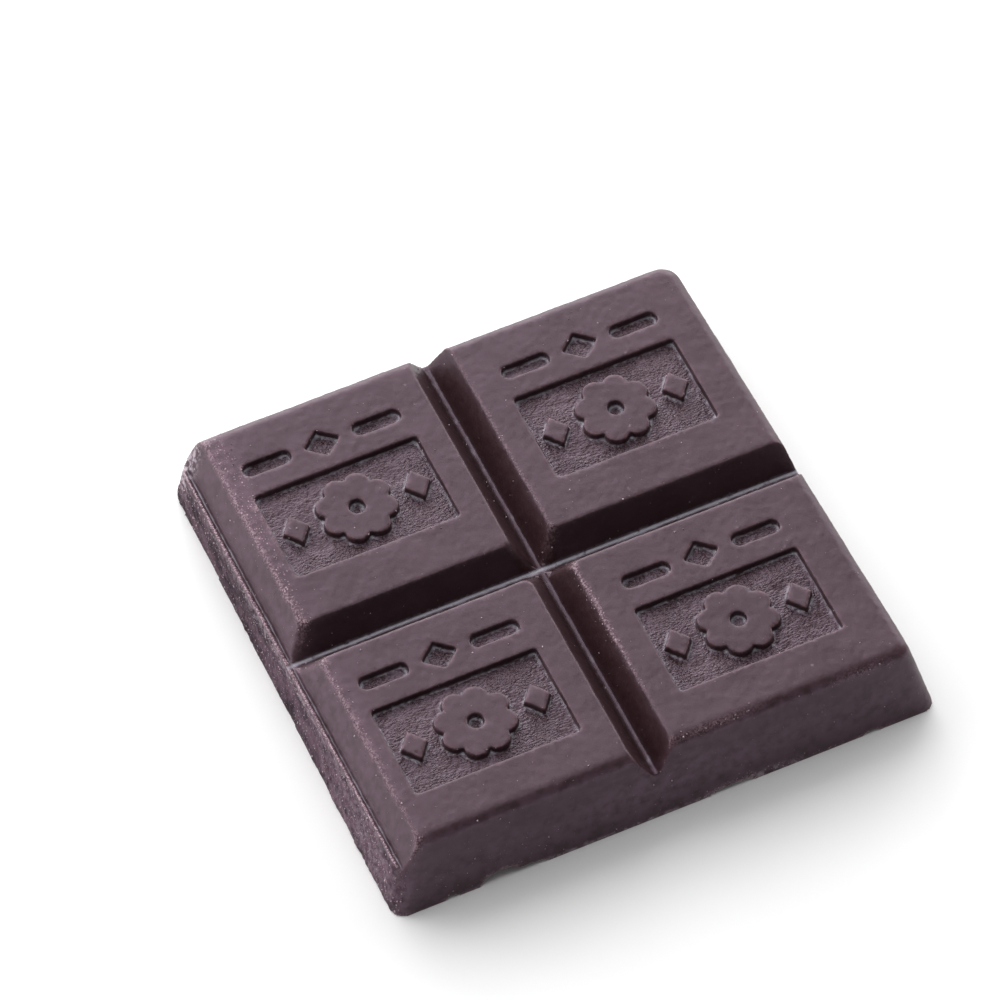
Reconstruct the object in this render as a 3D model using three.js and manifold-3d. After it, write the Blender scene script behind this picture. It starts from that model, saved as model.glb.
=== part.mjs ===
import * as THREE from 'three';
import { mergeVertices } from 'three/addons/utils/BufferGeometryUtils.js';
import Module from 'manifold-3d';

const wasm = await Module();
wasm.setup();

// The end piece of a moulded dark chocolate bar, two blocks by two, snapped off on its left.
// Millimetres: X runs along the front, Y to the back, Z up from the flat underside.
// X = 0 and Y = 0 lie halfway between the blocks' middles until the piece is centred.

// Driving dimensions.
const thickness = 8.8;
const blockSize = 23.5; // flat top of one block, from groove edge to groove edge
const grooveWidth = 4.5; // across a groove at the top
const grooveDepth = 3.1;
const grooveShift = -0.1; // the groove from front to back lies this much beside the halfway line
const channelWidth = 0.8; // the narrow channel along the foot of every groove
const channelDepth = 0.2;
const wallLean = 2.05; // how far the front, right and back walls stand out at the foot
const frontRim = -0.2; // how much further out the front row's top reaches than its block's size
const backRim = 1.1; // and the back row's
const leftTrim = 1.1; // the left column's outer slope starts this much further in
const grooveRounding = 0.5; // radius along the groove edges
const rimRounding = 1.2; // radius along the top edges of the three walls
const blockCornerAtFoot = 0.5; // plan radius of a block's corner down in the groove
const blockCornerAtTop = 1.3; // and up at its flat top

// The right wall: where its plane meets the top face halfway along, how it runs in towards the
// back, and the plan radius of its upright corners.
const rightWall = { x: 27.07, slant: -0.0175, frontCorner: 1.3, backCorner: 1.9 };

// The pressed pattern on each block.
const patternDepth = 0.75;
const patternDraft = 0.12; // how far its walls lean over that depth
const panelSize = { x: 17.6, y: 10.6, corner: 0.4 };
const panelMiddle = -1.2; // from the block's middle towards the back
const medallion = { lobes: 8, ring: 2.75, lobe: 1.3, eye: 0.85 };
const panelLozenge = { x: 1.35, y: 1.75, away: 6.5 };
const markMiddle = 7.3;
const markLozenge = { x: 1.9, y: 1.65 };
const markBar = { length: 5.2, width: 1.6, away: 5.9 };

// The snapped face on the left, at its front and back ends: where it starts in the groove's channel,
// how far it leans out on the way down, and the plan radius of its upright corner.
const snapFront = { x: -26.95, lean: 1.4, corner: 1.6 };
const snapBack = { x: -26.95, lean: 0.55, corner: 1.5 };
const snapWave = { height: 0.2, phase: 0.4 };

// Small chips along the lower edge: place along X, half width, height and reach into the bar.
const frontChips = [
  { x: -22.2, halfWidth: 0.7, height: 0.45, reach: 0.5 },
  { x: -17.0, halfWidth: 2.3, height: 1.25, reach: 1.2 },
  { x: -14.2, halfWidth: 2.0, height: 0.6, reach: 0.7 },
  { x: 7.4, halfWidth: 2.6, height: 0.5, reach: 0.8 },
  { x: 22.5, halfWidth: 0.9, height: 0.4, reach: 0.5 },
];
const backChips = [
  { x: -9.0, halfWidth: 1.6, height: 0.7, reach: 0.8 },
  { x: 13.5, halfWidth: 2.4, height: 0.9, reach: 0.9 },
];

// How finely curves are cut into flats.
const cornerSegments = 6;
const roundingSegments = 5;
const lobeSegments = 6;
const snapSegments = { along: 44, up: 6 };

// Worked out from the driving dimensions.
const pitch = blockSize + grooveWidth;
const floorHeight = thickness - grooveDepth;
const slopeRun = (grooveWidth - channelWidth) / 2;
const slopeAngle = Math.atan2(grooveDepth, slopeRun);
const frontTop = -(grooveWidth / 2 + blockSize + frontRim);
const backTop = grooveWidth / 2 + blockSize + backRim;
const beyond = 4; // how far a cutting or trimmed shape runs past the bar
const farSide = pitch + beyond;

// Closed geometry to a solid that can be joined and cut.
function solidOf(geometry) {
  geometry.deleteAttribute('normal');
  geometry.deleteAttribute('uv');
  const merged = mergeVertices(geometry);
  const vertProperties = new Float32Array(merged.attributes.position.array);
  const triVerts = new Uint32Array(merged.index.array);
  return new wasm.Manifold(new wasm.Mesh({ numProp: 3, vertProperties, triVerts }));
}

// And back to geometry.
function geometryOf(solid) {
  const { vertProperties, triVerts } = solid.getMesh();
  const geometry = new THREE.BufferGeometry();
  geometry.setAttribute('position', new THREE.BufferAttribute(vertProperties, 3));
  geometry.setIndex(new THREE.BufferAttribute(triVerts, 1));
  return geometry;
}

// A rectangle about the origin with round corners, as a closed outline.
function roundedRectangle(halfX, halfY, radius) {
  const outline = new THREE.Shape();
  const corners = [[1, 1], [-1, 1], [-1, -1], [1, -1]];
  corners.forEach(([sideX, sideY], quarter) => {
    const start = (quarter * Math.PI) / 2;
    const middleX = sideX * (halfX - radius);
    const middleY = sideY * (halfY - radius);
    outline.absarc(middleX, middleY, radius, start, start + Math.PI / 2, false);
  });
  return outline;
}

// Closed geometry whose level sections are rounded rectangles, one for each ring from the lowest up.
function loft(rings) {
  const unitCorner = 0.5;
  const geometry = new THREE.ExtrudeGeometry(roundedRectangle(1, 1, unitCorner), {
    depth: rings.length - 1,
    steps: rings.length - 1,
    curveSegments: cornerSegments,
    bevelEnabled: false,
  });
  const place = geometry.attributes.position;
  for (let i = 0; i < place.count; i += 1) {
    const ring = rings[Math.round(place.getZ(i))];
    const sideX = Math.sign(place.getX(i));
    const sideY = Math.sign(place.getY(i));
    const arcX = (place.getX(i) - sideX * (1 - unitCorner)) / unitCorner;
    const arcY = (place.getY(i) - sideY * (1 - unitCorner)) / unitCorner;
    const edgeX = sideX > 0 ? ring.right : ring.left;
    const edgeY = sideY > 0 ? ring.back : ring.front;
    const corner = sideY > 0 ? ring.backCorner : ring.frontCorner;
    const x = edgeX + (arcX - sideX) * corner;
    const y = edgeY + (arcY - sideY) * corner;
    place.setXYZ(i, x, y, ring.height);
  }
  return geometry;
}

// The rounded upper edge of a wall of some steepness: how far out of the edge, at what height.
function roundedEdge(steepness, rounding) {
  const tangent = rounding * Math.tan(steepness / 2);
  const steps = [];
  for (let i = 0; i <= roundingSegments; i += 1) {
    const angle = steepness * (1 - i / roundingSegments);
    const out = rounding * Math.sin(angle) - tangent;
    const height = thickness - rounding * (1 - Math.cos(angle));
    steps.push({ out, height });
  }
  return steps;
}

// One block above the groove floor. Sides without a groove run past the bar, which trims them.
function block(column, row) {
  const middleX = column * pitch / 2;
  const middleY = row * pitch / 2;
  const steps = [
    { out: slopeRun, height: floorHeight - 1 },
    { out: slopeRun, height: floorHeight },
    ...roundedEdge(slopeAngle, grooveRounding),
  ];
  const rings = steps.map(({ out, height }) => {
    const risen = Math.min((slopeRun - out) / slopeRun, 1);
    const corner = THREE.MathUtils.lerp(blockCornerAtFoot, blockCornerAtTop, risen);
    return {
      height,
      left: middleX - blockSize / 2 - out + (column < 0 ? leftTrim : grooveShift),
      right: column < 0 ? middleX + blockSize / 2 + out + grooveShift : farSide,
      front: row > 0 ? middleY - blockSize / 2 - out : frontTop - beyond,
      back: row < 0 ? middleY + blockSize / 2 + out : backTop + beyond,
      frontCorner: corner,
      backCorner: corner,
    };
  });
  return solidOf(loft(rings));
}

// The slab under the grooves, wider than the bar all round.
function slab() {
  const depth = backTop - frontTop + 2 * beyond;
  const geometry = new THREE.BoxGeometry(2 * farSide, depth, floorHeight + 1);
  geometry.translate(0, (frontTop + backTop) / 2, (floorHeight - 1) / 2);
  return solidOf(geometry);
}

// The body inside the three moulded walls, before the grooves. On the left it runs past the bar.
function walls() {
  const steepness = Math.atan2(thickness, wallLean);
  const steps = [{ out: wallLean, height: 0 }, ...roundedEdge(steepness, rimRounding)];
  const rings = steps.map(({ out, height }) => ({
    height,
    left: -farSide,
    right: rightWall.x + out,
    front: frontTop - out,
    back: backTop + out,
    frontCorner: rightWall.frontCorner + Math.min(out, 0),
    backCorner: rightWall.backCorner + Math.min(out, 0),
  }));
  const geometry = loft(rings);
  const place = geometry.attributes.position;
  for (let i = 0; i < place.count; i += 1) {
    const slanted = place.getX(i) + rightWall.slant * place.getY(i);
    if (place.getX(i) > 0) place.setX(i, slanted);
  }
  return solidOf(geometry);
}

// The narrow channel at the foot of a groove, as a bar to cut with. Turned, it runs along X.
function channel(middle, turned) {
  const length = 2 * farSide;
  const height = channelDepth + 1;
  const geometry = new THREE.BoxGeometry(channelWidth, length, height);
  geometry.translate(middle, 0, floorHeight - channelDepth + height / 2);
  if (turned) geometry.rotateZ(Math.PI / 2);
  return solidOf(geometry);
}

// How far a rounded vertical corner takes the snapped face in, at a distance from the wall.
function cornerInset(distance, radius) {
  const inside = THREE.MathUtils.clamp(radius - distance, 0, radius);
  return radius - Math.sqrt(radius * radius - inside * inside);
}

// Lumps and ripples of the snapped face.
function snapRelief(y, z) {
  const { height, phase } = snapWave;
  const lumps = Math.sin(0.47 * y + phase) + 0.7 * Math.sin(1.13 * y + 0.35 * z + 2.1 * phase);
  const ripples = 0.4 * Math.sin(2.3 * y - 0.9 * z + 3.7 * phase);
  return height * (lumps + ripples) / 2;
}

// Where the snapped face stands, as X, at one place along it and one height.
function snappedX(y, z) {
  const down = Math.max(floorHeight - z, 0) / floorHeight;
  const wallOut = wallLean * (1 - z / thickness);
  const alongY = THREE.MathUtils.inverseLerp(frontTop, backTop, y);
  const line = THREE.MathUtils.lerp(snapFront.x, snapBack.x, alongY);
  const lean = THREE.MathUtils.lerp(snapFront.lean, snapBack.lean, alongY) * down;
  const relief = snapRelief(y, z) * (0.4 + 0.6 * down);
  const frontInset = cornerInset(y - (frontTop - wallOut), snapFront.corner);
  const backInset = cornerInset(backTop + wallOut - y, snapBack.corner);
  return line - lean - relief + frontInset + backInset;
}

// Everything past the snapped face, to cut away.
function pastSnap() {
  const halfY = backTop + wallLean + 1;
  const height = thickness + 2;
  const { along, up } = snapSegments;
  const geometry = new THREE.BoxGeometry(2, 2 * halfY, height, 1, along, up);
  const place = geometry.attributes.position;
  for (let i = 0; i < place.count; i += 1) {
    const y = halfY * Math.sin((Math.PI / 2) * (place.getY(i) / halfY));
    const z = place.getZ(i) + thickness / 2;
    const isFace = place.getX(i) > 0;
    place.setXYZ(i, isFace ? snappedX(y, z) : -(farSide + 1), y, z);
  }
  return solidOf(geometry);
}

// A shape pressed into the top: full width at the top face, leaning in to its floor.
function pressed(shape, x, y) {
  const geometry = new THREE.ExtrudeGeometry(shape, {
    depth: 1,
    curveSegments: lobeSegments,
    bevelThickness: patternDepth,
    bevelSize: patternDraft,
    bevelOffset: -patternDraft,
    bevelSegments: 1,
  });
  geometry.translate(x, y, thickness);
  return solidOf(geometry);
}

// A round outline of equal lobes that meet in notches.
function scallopedRound({ lobes, ring, lobe }) {
  const half = Math.PI / lobes;
  const reach = half + Math.asin((ring * Math.sin(half)) / lobe);
  const outline = new THREE.Shape();
  for (let i = 0; i < lobes; i += 1) {
    const angle = 2 * half * i + half;
    outline.absarc(ring * Math.cos(angle), ring * Math.sin(angle), lobe, angle - reach, angle + reach, false);
  }
  return outline;
}

function lozenge(halfX, halfY, middleX = 0) {
  return new THREE.Shape([
    new THREE.Vector2(middleX + halfX, 0),
    new THREE.Vector2(middleX, halfY),
    new THREE.Vector2(middleX - halfX, 0),
    new THREE.Vector2(middleX, -halfY),
  ]);
}

// The sunk panel, which leaves a medallion and two lozenges standing.
function panelShape() {
  const shape = roundedRectangle(panelSize.x / 2, panelSize.y / 2, panelSize.corner);
  shape.holes.push(scallopedRound(medallion));
  shape.holes.push(lozenge(panelLozenge.x, panelLozenge.y, -panelLozenge.away));
  shape.holes.push(lozenge(panelLozenge.x, panelLozenge.y, panelLozenge.away));
  return shape;
}

// All that is pressed into one block: the panel, and behind it a lozenge between two bars.
function pattern(column, row) {
  const x = column * pitch / 2;
  const y = row * pitch / 2;
  const bar = roundedRectangle(markBar.length / 2, markBar.width / 2, markBar.width / 2);
  return [
    pressed(panelShape(), x, y + panelMiddle),
    pressed(roundedRectangle(medallion.eye, medallion.eye, medallion.eye), x, y + panelMiddle),
    pressed(lozenge(markLozenge.x, markLozenge.y), x, y + markMiddle),
    pressed(bar, x - markBar.away, y + markMiddle),
    pressed(bar, x + markBar.away, y + markMiddle),
  ];
}

// A chip out of the lower edge of the front or back wall.
function chip({ x, halfWidth, height, reach }, edgeY) {
  const geometry = new THREE.SphereGeometry(1, 10, 6);
  geometry.scale(halfWidth, reach, height);
  geometry.translate(x, edgeY, 0);
  return solidOf(geometry);
}

// The whole piece, centred over the origin.
function barGeometry() {
  const places = [-1, 1].flatMap((row) => [-1, 1].map((column) => [column, row]));
  const blocks = places.map(([column, row]) => block(column, row));
  const raised = blocks.reduce((joined, next) => joined.add(next), slab());
  const cuts = [
    channel(grooveShift, false),
    channel(0, true),
    channel(leftTrim - pitch, false),
    ...places.flatMap(([column, row]) => pattern(column, row)),
    ...frontChips.map((size) => chip(size, frontTop - wallLean)),
    ...backChips.map((size) => chip(size, backTop + wallLean)),
    pastSnap(),
  ];
  const bar = cuts.reduce((left, cut) => left.subtract(cut), walls().intersect(raised));
  const geometry = geometryOf(bar);
  geometry.computeBoundingBox();
  const middle = geometry.boundingBox.getCenter(new THREE.Vector3());
  geometry.translate(-middle.x, -middle.y, 0);
  geometry.computeVertexNormals();
  return geometry;
}

function darkChocolate() {
  return new THREE.MeshStandardMaterial({ color: 0x43333a, roughness: 0.5, metalness: 0 });
}

const bar = new THREE.Mesh(barGeometry(), darkChocolate());
bar.name = 'chocolate_bar';

const part = new THREE.Group();
part.add(bar);

export default part;
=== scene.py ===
"""Looks of a snapped-off piece of moulded dark chocolate, two blocks by two.

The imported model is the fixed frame: metres, X along the front wall, Y towards the back wall and Z up
from the flat underside. Pieces are modelled in millimetres about the crossing of the two snapping
grooves, and are brought to the frame when their shape is finished.
"""

import logging
import math
from collections.abc import Callable, Iterator, Sequence
from contextlib import contextmanager
from dataclasses import dataclass, field
from enum import Enum
from itertools import product

import bpy
import numpy as np
from bpy.types import Modifier, Node, NodeSocket, Object
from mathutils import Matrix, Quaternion, Vector


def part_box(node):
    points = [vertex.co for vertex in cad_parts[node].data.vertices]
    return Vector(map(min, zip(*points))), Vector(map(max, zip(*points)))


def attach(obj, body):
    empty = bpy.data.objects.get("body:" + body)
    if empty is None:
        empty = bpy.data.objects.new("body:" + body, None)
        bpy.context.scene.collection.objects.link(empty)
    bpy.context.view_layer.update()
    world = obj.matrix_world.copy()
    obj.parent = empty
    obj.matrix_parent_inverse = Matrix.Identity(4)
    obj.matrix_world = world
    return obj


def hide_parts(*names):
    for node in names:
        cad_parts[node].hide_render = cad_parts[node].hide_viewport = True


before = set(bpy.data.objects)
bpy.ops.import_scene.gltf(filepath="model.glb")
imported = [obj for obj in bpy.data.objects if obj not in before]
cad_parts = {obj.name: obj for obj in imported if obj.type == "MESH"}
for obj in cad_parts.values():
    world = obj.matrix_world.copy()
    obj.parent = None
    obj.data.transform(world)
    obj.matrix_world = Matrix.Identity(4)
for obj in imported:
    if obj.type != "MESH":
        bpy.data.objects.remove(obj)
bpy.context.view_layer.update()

LOG = logging.getLogger("chocolate_bar")
BAR_NODE = "chocolate_bar"
MM = 0.001
NEAR = 0.01  # two places this close count as the same, in millimetres

Test = Callable[[Vector, Vector], bool]
Triple = tuple[float, float, float]
Colour = tuple[float, float, float, float]


class Element(Enum):
    """What an edit picks, with the select mode that it needs."""

    VERTEX = (True, False, False)
    EDGE = (False, True, False)


class Combine(Enum):
    """How two solids are combined."""

    JOIN = "UNION"
    CUT = "DIFFERENCE"
    SHARE = "INTERSECT"


class Region(Enum):
    """Parts of the surface that are shaped or coloured on their own.

    Attributes:
        PRESSED: Floors of the pressed pattern.
        CHANNEL: Floors of the grooves.
        SNAPPED: The face along which the bar was snapped off, below the groove.
        MOULDED: All but that face, fading out towards the underside.
        EDGE: Where the surface turns over an edge.
        PAINTED_GLINT_LINE: Where a floor turns up into a wall, and along the foot of the cross groove:
            where pale painted highlight lines go.
        GROOVE_SHADE: The groove between the left and the right blocks, whose walls get painted shade.
        RUBBED_AND_HIGHLIT: Where edges are pale from rubbing, and the ridge beside the crease, where
            the pale line is a painted highlight.
        BLOOMED: Where the surface has turned whitish.
        DUST_AND_SHEEN: Where the surface is paler and mauve: a fine dusting, and painted sheen on the
            left slope, the snapped face, the front wall and its rim.
    """

    PRESSED = "pressed"
    CHANNEL = "channel"
    SNAPPED = "snapped"
    MOULDED = "moulded"
    EDGE = "edge"
    PAINTED_GLINT_LINE = "hollow"
    GROOVE_SHADE = "sheltered"
    RUBBED_AND_HIGHLIT = "rubbed"
    BLOOMED = "bloomed"
    DUST_AND_SHEEN = "dusty"


class Push(Enum):
    """Which way a roughening moves the surface."""

    OUT = "NORMAL"
    ANY = "RGB_TO_XYZ"


class Maths(Enum):
    """What a material's node works out from its values."""

    ADD = "ADD"
    TIMES = "MULTIPLY"
    TIMES_THEN_ADD = "MULTIPLY_ADD"
    MOST = "MAXIMUM"
    BELOW = "LESS_THAN"


@dataclass(frozen=True)
class Relief:
    """A random relief of the surface, in millimetres.

    Attributes:
        name: Its name.
        grain: Size of its lumps.
        height: From its deepest to its highest point, at most.
        depth: How many finer layers it has.
        region: The only region that it is in, if there is one.
        push: Which way it moves the surface.
    """

    name: str
    grain: float
    height: float
    depth: int = 2
    region: Region | None = None
    push: Push = Push.OUT


def vector_field(*parts: float) -> Vector:
    """A dataclass field that starts as a vector of its own."""
    return field(default_factory=lambda: Vector(parts))


def upright(_: Vector, line: Vector) -> bool:
    """Whether an edge rises at more than 30 degrees."""
    return abs(line.z) > 0.5


def ramp(values: np.ndarray, start: float, run: float) -> np.ndarray:
    """Turns values into 0 up to a start and 1 from a run past it, with an even rise between."""
    return np.clip((values - start) / run, 0, 1)


class Workpiece:
    """A mesh while it is being modelled, in millimetres."""

    def __init__(self, name: str) -> None:
        """Takes over the object that was added last.

        Args:
            name: The object's new name.
        """
        self.object: Object = bpy.context.active_object
        self.object.name = name
        self.settle()

    @classmethod
    def box(cls, name: str, low: Vector, high: Vector) -> "Workpiece":
        """Adds a box between two corners."""
        bpy.ops.mesh.primitive_cube_add(size=1, location=(low + high) / 2, scale=high - low)
        return cls(name)

    @classmethod
    def prism(cls, name: str, sides: int, middle: Vector, half: Vector) -> "Workpiece":
        """Adds an upright prism.

        Args:
            name: The new object's name.
            sides: How many sides it has; its first corner points along X.
            middle: Its middle.
            half: Its reach from the middle along X, Y and Z.

        Returns:
            The new piece.
        """
        quarter = math.pi / 2
        bpy.ops.mesh.primitive_cylinder_add(
            vertices=sides, radius=1, depth=2, location=middle, rotation=(0, 0, quarter)
        )
        piece = cls(name)
        with piece.editing():
            bpy.ops.mesh.select_all(action="SELECT")
            bpy.ops.transform.resize(value=half, center_override=middle)
        return piece

    def make_active(self) -> None:
        """Selects this object and nothing else."""
        bpy.ops.object.select_all(action="DESELECT")
        self.object.select_set(True)
        bpy.context.view_layer.objects.active = self.object

    def settle(self) -> None:
        """Brings the object's place, turn and scale into its mesh."""
        self.make_active()
        bpy.ops.object.transform_apply(location=True, rotation=True, scale=True)

    @contextmanager
    def editing(self) -> Iterator[None]:
        """Holds the object in edit mode."""
        self.make_active()
        bpy.ops.object.mode_set(mode="EDIT")
        yield
        bpy.ops.object.mode_set(mode="OBJECT")

    def pick(self, element: Element, test: Test) -> None:
        """Selects the elements that pass a test, and no others.

        Args:
            element: Vertices or edges.
            test: Takes an element's middle and its direction: the normal of a vertex, or the line
                of an edge.
        """
        mesh = self.object.data
        bpy.context.tool_settings.mesh_select_mode = element.value
        for elements in (mesh.vertices, mesh.edges, mesh.polygons):
            elements.foreach_set("select", [False] * len(elements))
        if element is Element.VERTEX:
            for vertex in mesh.vertices:
                vertex.select = test(vertex.co, vertex.normal)
        else:
            for edge in mesh.edges:
                start, end = (mesh.vertices[i].co for i in edge.vertices)
                edge.select = test((start + end) / 2, (end - start).normalized())

    def move(self, by: Vector) -> None:
        """Moves what is picked."""
        with self.editing():
            bpy.ops.transform.translate(value=by)

    def resize(self, factors: Vector, about: Vector) -> None:
        """Scales what is picked about a point."""
        with self.editing():
            bpy.ops.transform.resize(value=factors, center_override=about)

    def bevel(self, width: float, segments: int) -> None:
        """Rounds the picked edges."""
        with self.editing():
            bpy.ops.mesh.bevel(offset_type="OFFSET", offset=width, segments=segments, affect="EDGES")

    def taper(self, middle: Vector, half: Vector, spread: float) -> None:
        """Makes an upright piece wider above its middle and narrower below.

        Args:
            middle: Its middle.
            half: Its reach from the middle along X and Y, halfway up.
            spread: How much wider each side is at the top; a negative one turns the taper over.
        """
        for side in (1, -1):
            self.pick(Element.VERTEX, lambda place, _, side=side: side * (place.z - middle.z) > 0)
            wider = [(reach + side * spread) / reach for reach in half.xy]
            self.resize(Vector((*wider, 1)), middle)

    def copy(self, by: Vector) -> "Workpiece":
        """Makes a copy with a mesh of its own.

        Args:
            by: How far the copy is moved.

        Returns:
            The copy.
        """
        self.make_active()
        bpy.ops.object.duplicate(linked=False)
        bpy.ops.transform.translate(value=by)
        return Workpiece(self.object.name + "_copy")

    def join(self, others: Sequence["Workpiece"]) -> None:
        """Takes other pieces' meshes into this one.

        Args:
            others: The other pieces, which are used up.
        """
        self.make_active()
        for other in others:
            other.object.select_set(True)
        bpy.ops.object.join()

    def combine(self, other: "Workpiece", how: Combine) -> None:
        """Combines this solid with another, which is used up.

        Args:
            other: The other solid.
            how: Whether it is joined on or cut out, or what both share is kept.
        """
        boolean = self.object.modifiers.new("combine", "BOOLEAN")
        boolean.operation = how.value
        boolean.solver = "EXACT"
        boolean.object = other.object
        self.apply(boolean)
        bpy.data.objects.remove(other.object)

    def apply(self, modifier: Modifier) -> None:
        """Applies a modifier of this object."""
        self.make_active()
        bpy.ops.object.modifier_apply(modifier=modifier.name)

    def remesh(self, voxel: float) -> None:
        """Covers the solid with an even net of small faces.

        Args:
            voxel: Spacing of the net, in millimetres.
        """
        modifier = self.object.modifiers.new("remesh", "REMESH")
        modifier.mode = "VOXEL"
        modifier.voxel_size = voxel
        self.apply(modifier)

    def smooth(self, rounds: int) -> None:
        """Softens all edges a little.

        Args:
            rounds: How often each vertex moves halfway to the middle of those around it.
        """
        modifier = self.object.modifiers.new("smooth", "SMOOTH")
        modifier.factor = 0.5
        modifier.iterations = rounds
        self.apply(modifier)

    def decimate(self, triangles: int) -> None:
        """Thins the mesh, first where it is flat.

        Args:
            triangles: About how many triangles are left.
        """
        mesh = self.object.data
        mesh.calc_loop_triangles()
        modifier = self.object.modifiers.new("decimate", "DECIMATE")
        modifier.ratio = triangles / len(mesh.loop_triangles)
        modifier.use_collapse_triangulate = True
        self.apply(modifier)

    def places(self) -> np.ndarray:
        """Returns the vertices' places, one row each."""
        return self.vertex_values("co")

    def normals(self) -> np.ndarray:
        """Returns the vertices' normals, one row each."""
        return self.vertex_values("normal")

    def vertex_values(self, name: str) -> np.ndarray:
        """Reads one three-part property of all vertices.

        Args:
            name: The property's name.

        Returns:
            Its values, one row for each vertex.
        """
        vertices = self.object.data.vertices
        values = np.empty(len(vertices) * 3, np.float32)
        vertices.foreach_get(name, values)
        return values.reshape(-1, 3)

    def weigh(self, name: str, weights: np.ndarray) -> None:
        """Makes a vertex group, in steps of a tenth.

        Args:
            name: The group's name.
            weights: How much each vertex belongs to it, from 0 to 1.
        """
        group = self.object.vertex_groups.new(name=name)
        tenths = np.round(weights * 10).astype(int)
        for tenth in range(1, 11):
            group.add(np.nonzero(tenths == tenth)[0].tolist(), tenth / 10, "REPLACE")

    def mark(self, name: str, values: np.ndarray) -> None:
        """Stores one number for each vertex, for the finish to read."""
        attribute = self.object.data.attributes.new(name, "FLOAT", "POINT")
        attribute.data.foreach_set("value", values.astype(np.float32))

    def roughen(self, relief: Relief) -> None:
        """Pushes the surface in and out by a soft random pattern.

        Args:
            relief: The pattern, and where and which way it pushes.
        """
        texture = bpy.data.textures.new(relief.name, "CLOUDS")
        texture.noise_scale = relief.grain
        texture.noise_depth = relief.depth
        texture.cloud_type = "COLOR" if relief.push is Push.ANY else "GRAYSCALE"
        modifier = self.object.modifiers.new(relief.name, "DISPLACE")
        modifier.texture = texture
        modifier.texture_coords = "LOCAL"
        modifier.direction = relief.push.value
        modifier.strength = relief.height
        if relief.region:
            modifier.vertex_group = relief.region.value
        self.apply(modifier)
        bpy.data.textures.remove(texture)


@dataclass(frozen=True)
class Mould:
    """Driving sizes of the moulded bar, in millimetres, about the crossing of its grooves.

    Attributes:
        thickness: From the flat underside to the top.
        block: Side of a whole block's top.
        groove_width: Width of a groove between the tops of two blocks.
        groove_depth: From the top down to the groove floor.
        groove_shift: X of the groove between the left and the right blocks.
        channel_width: Width of the groove floor.
        channel_depth: Depth of the narrow channel along it.
        cross_channel_shift: Y of the channel in the groove between the front and the back blocks.
        cross_channel_deeper: How much deeper that channel is.
        crease_shift: From the foot of the left blocks' left slope to the fine crease beside it.
        crease_share: Width of the crease, as a share of the groove floor's.
        crease_deeper: How much deeper than a channel it is.
        wall_lean: How far an outer wall stands out at its foot.
        front_rim: How far the front blocks' tops reach past a whole block's.
        back_rim: How far the back blocks' tops do.
        left_trim: How much shorter the left blocks are on the left.
        groove_rounding: Radius of the edges between the tops and the grooves.
        rim_rounding: Radius of the edges between the tops and the outer walls.
        block_corner: Radius of the blocks' upright corners.
        beyond: How far solids for cutting run past the bar.
        crossing: Where the grooves cross in the frame.
    """

    thickness: float = 8.8
    block: float = 23.5
    groove_width: float = 4.5
    groove_depth: float = 3.1
    groove_shift: float = -0.1
    channel_width: float = 0.8
    channel_depth: float = 0.2
    cross_channel_shift: float = 0.08
    cross_channel_deeper: float = 0.02
    crease_shift: float = 0.22
    crease_share: float = 0.45
    crease_deeper: float = 0.1
    wall_lean: float = 2.05
    front_rim: float = -0.2
    back_rim: float = 1.1
    left_trim: float = 1.1
    groove_rounding: float = 0.3
    rim_rounding: float = 1.2
    block_corner: float = 0.8
    beyond: float = 4.0
    crossing: Vector = vector_field(-0.5865, -0.65, 0)

    @property
    def pitch(self) -> float:
        """From one block's middle to the next."""
        return self.block + self.groove_width

    @property
    def floor(self) -> float:
        """Height of the groove floor."""
        return self.thickness - self.groove_depth

    @property
    def slope_run(self) -> float:
        """How far a groove wall leans over its height."""
        return (self.groove_width - self.channel_width) / 2

    @property
    def slope_angle(self) -> float:
        """How steep a groove wall is."""
        return math.atan2(self.groove_depth, self.slope_run)

    @property
    def front_top(self) -> float:
        """Y of the front wall's top edge."""
        return -(self.groove_width / 2 + self.block + self.front_rim)

    @property
    def back_top(self) -> float:
        """Y of the back wall's top edge."""
        return self.groove_width / 2 + self.block + self.back_rim


@dataclass(frozen=True)
class SideEnd:
    """The front or back end of the left or right side of the bar, in millimetres.

    Attributes:
        x: Its X at the height of the groove floor.
        lean: How far it stands out from there to the foot.
        corner: Radius of its upright corner.
    """

    x: float
    lean: float
    corner: float

    def x_at(self, side: int, height: float, floor: float) -> float:
        """X at a height; the side is -1 on the left and 1 on the right."""
        return self.x + side * self.lean * (1 - height / floor)


@dataclass(frozen=True)
class Chip:
    """A chip out of the lower edge of the front or back wall, in millimetres.

    Attributes:
        x: Its middle.
        half_width: How far it reaches along the edge to each side.
        height: How far it reaches up the wall.
        reach: How far it reaches into the bar.
    """

    x: float
    half_width: float
    height: float
    reach: float


@dataclass(frozen=True)
class Rub:
    """A place where the surface is worn or marked, which fades out from its middle.

    Attributes:
        place: Its middle, in millimetres from the crossing of the grooves.
        reach: How far off it has faded to about a third, along X, Y and Z.
        strength: How strong it is in the middle.
    """

    place: Triple
    reach: Triple
    strength: float

    def at(self, places: np.ndarray) -> np.ndarray:
        """How strongly each of many places is marked."""
        off = (places - np.array(Vector(self.place))) / np.array(Vector(self.reach))
        return self.strength * np.exp(-(off**2).sum(1))


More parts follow.
